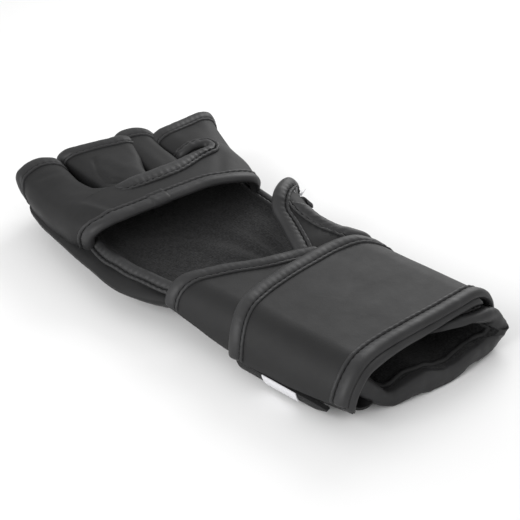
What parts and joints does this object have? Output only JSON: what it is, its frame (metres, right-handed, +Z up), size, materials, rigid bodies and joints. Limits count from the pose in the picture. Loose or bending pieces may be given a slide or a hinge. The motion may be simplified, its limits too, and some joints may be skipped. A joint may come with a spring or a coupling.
{
  "type": "grappling glove",
  "caption": "Right-hand open-palm grappling glove with padded back, separate finger stalls, thumb hole and a long cuff closed by a hinged inner flap and an outer wrist strap.",
  "frame": {"origin": "under the middle of the glove's bounding box, on the surface that it rests on", "axes": "+X towards the thumb, +Y towards the fingertips, +Z up, out of the palm"},
  "size_m": [0.1396, 0.2537, 0.0435],
  "materials": {
    "black_leather": "matte synthetic leather",
    "black_binding": "matte synthetic leather tape, stitched",
    "black_lining": "soft knitted lining",
    "padding_foam": "closed-cell foam",
    "hook_tape": "hook tape",
    "loop_tape": "fuzzy loop tape",
    "white_label": "plain woven label"
  },
  "bodies": {
    "hand_and_cuff": {"cuff_shell": "black_leather", "strap_root": "black_leather", "closure_tab": "black_leather", "backhand_shell": "black_leather", "palm_bar": "black_leather", "thumb_panel": "black_leather", "cuff_rim_binding": "black_binding", "strap_root_bindings": "black_binding", "little_side_binding": "black_binding", "thumb_side_binding": "black_binding", "palm_bar_binding": "black_binding", "slit_binding": "black_binding", "thumb_panel_palm_binding": "black_binding", "thumb_hole_binding": "black_binding", "cuff_lining": "black_lining", "backhand_lining": "black_lining", "palm_bar_lining": "black_lining", "thumb_panel_lining": "black_lining", "cuff_foam": "padding_foam", "outer_foam": "padding_foam", "inner_foam": "padding_foam", "loop_patch": "loop_tape", "woven_label": "white_label"},
    "strap": {"wrist_strap": "black_leather", "wrist_strap_lining": "black_lining", "strap_front_binding": "black_binding", "strap_rear_binding": "black_binding", "hook_patch": "hook_tape"},
    "flap": {"wrist_flap": "black_leather", "wrist_flap_lining": "black_lining", "wrist_flap_binding": "black_binding"},
    "little_finger": {"little_stall": "black_leather", "little_stall_lining": "black_lining", "little_stall_binding": "black_binding", "little_pad_shell": "black_leather", "little_pad_foam": "padding_foam"},
    "ring_finger": {"ring_stall": "black_leather", "ring_stall_lining": "black_lining", "ring_stall_binding": "black_binding", "ring_pad_shell": "black_leather", "ring_pad_foam": "padding_foam"},
    "middle_finger": {"middle_stall": "black_leather", "middle_stall_lining": "black_lining", "middle_stall_binding": "black_binding", "middle_pad_shell": "black_leather", "middle_pad_foam": "padding_foam"},
    "index_finger": {"index_stall": "black_leather", "index_stall_lining": "black_lining", "index_stall_binding": "black_binding", "index_pad_shell": "black_leather", "index_pad_foam": "padding_foam"}
  },
  "joints": [
    {"name": "strap_peel", "type": "hinge", "parent": "hand_and_cuff", "child": "strap", "pos_m": [0.04612, -0.07334, 0.034], "axis": [-0.1908, 0.9816, 0], "range_deg": [0, 110]},
    {"name": "flap_open", "type": "hinge", "parent": "hand_and_cuff", "child": "flap", "pos_m": [-0.02663, -0.07118, 0.0305], "axis": [0.1908, -0.9816, 0], "range_deg": [0, 24.2]},
    {"name": "little_finger_flex", "type": "hinge", "parent": "hand_and_cuff", "child": "little_finger", "pos_m": [-0.05055, 0.074, 0.0364], "axis": [1, 0, 0], "range_deg": [0, 40], "stiffness_Nm_per_rad": 0.05},
    {"name": "ring_finger_flex", "type": "hinge", "parent": "hand_and_cuff", "child": "ring_finger", "pos_m": [-0.0192, 0.074, 0.0394], "axis": [1, 0, 0], "range_deg": [0, 40], "stiffness_Nm_per_rad": 0.05},
    {"name": "middle_finger_flex", "type": "hinge", "parent": "hand_and_cuff", "child": "middle_finger", "pos_m": [0.0085, 0.074, 0.0394], "axis": [1, 0, 0], "range_deg": [0, 40], "stiffness_Nm_per_rad": 0.05},
    {"name": "index_finger_flex", "type": "hinge", "parent": "hand_and_cuff", "child": "index_finger", "pos_m": [0.0368, 0.074, 0.0389], "axis": [1, 0, 0], "range_deg": [0, 40], "stiffness_Nm_per_rad": 0.05}
  ],
  "couplings": [
    {"joint": "flap_open", "follows": "strap_peel", "ratio": 0.22}
  ]
}
